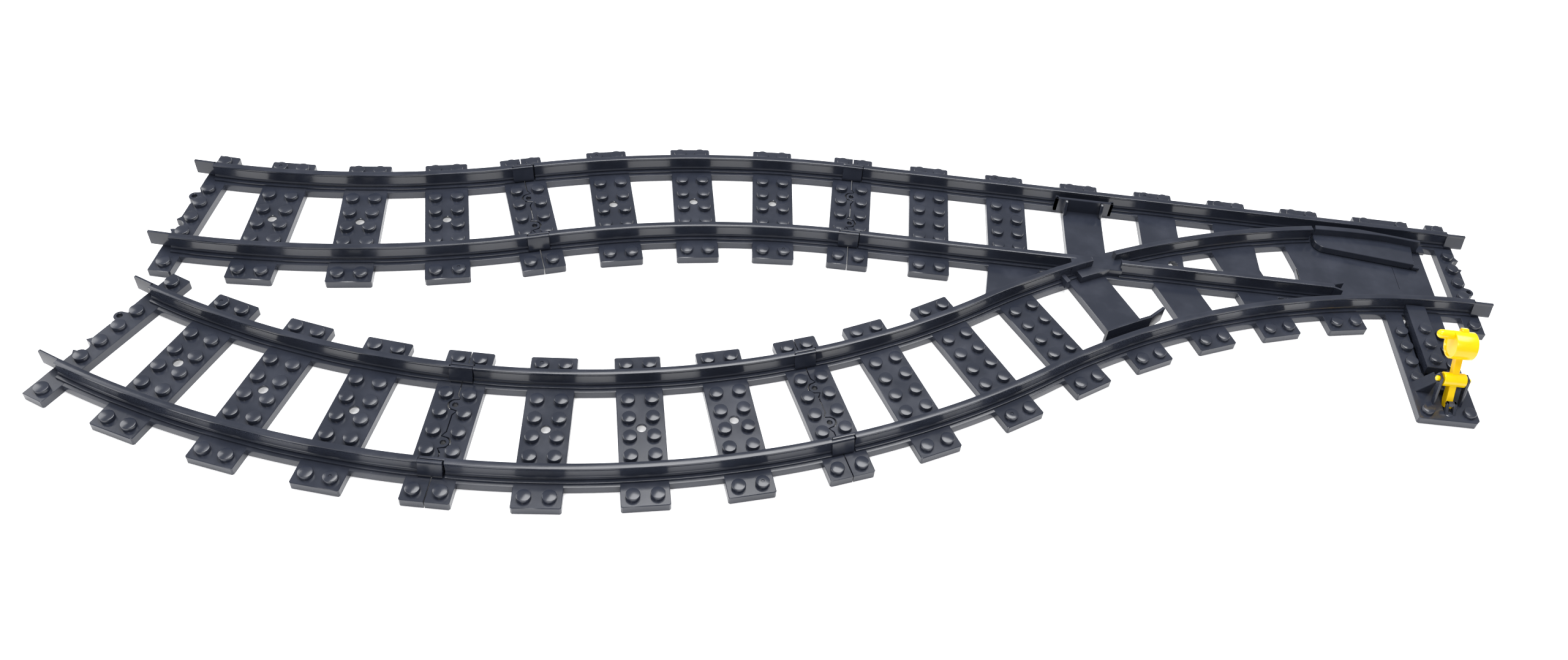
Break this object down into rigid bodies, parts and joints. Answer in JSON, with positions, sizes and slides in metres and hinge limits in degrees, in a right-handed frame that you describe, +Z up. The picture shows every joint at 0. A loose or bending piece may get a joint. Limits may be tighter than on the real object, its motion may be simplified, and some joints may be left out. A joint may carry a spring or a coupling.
{
  "type": "model railway turnout",
  "caption": "Brick-system railway turnout with a sprung point tongue worked by a side hand lever, leading to curved track sections on both routes.",
  "frame": {"origin": "bottom centre of the whole assembly's bounding box, on the surface that the track lies on", "axes": "+X along the straight route from the far ends of the curves to the turnout's toe, -Y to the side of the branch and the lever, +Z up"},
  "size_m": [0.522, 0.192, 0.0293],
  "materials": {
    "track_plastic": "semi-gloss dark bluish grey",
    "lever_plastic": "glossy warm yellow",
    "spring_wire": "drawn wire"
  },
  "bodies": {
    "track": {"turnout_base": "track_plastic", "mechanism_cover": "track_plastic", "bottom_cover": "track_plastic", "toggle_spring": "spring_wire", "straight_route_curve_1": "track_plastic", "straight_route_curve_2": "track_plastic", "branch_route_curve_1": "track_plastic", "branch_route_curve_2": "track_plastic"},
    "tongue": {"point_tongue": "track_plastic"},
    "bar": {"throw_bar": "track_plastic"},
    "lever": {"throw_lever": "lever_plastic"}
  },
  "joints": [
    {"name": "lever_throw", "type": "hinge", "parent": "track", "child": "lever", "pos_m": [0.22977, -0.0032, 0.012], "axis": [1, 0, 0], "range_deg": [0, 65]},
    {"name": "tongue_swing", "type": "hinge", "parent": "track", "child": "tongue", "pos_m": [0.19817, 0.0744, 0.0035], "axis": [0, 0, 1], "range_deg": [0, 7]},
    {"name": "bar_slide", "type": "slide", "parent": "track", "child": "bar", "axis": [0, 1, 0], "range_m": [0, 0.00388]}
  ],
  "couplings": [
    {"joint": "tongue_swing", "follows": "lever_throw", "ratio": 0.1076},
    {"joint": "bar_slide", "follows": "lever_throw", "m_per_rad": 0.00341}
  ]
}
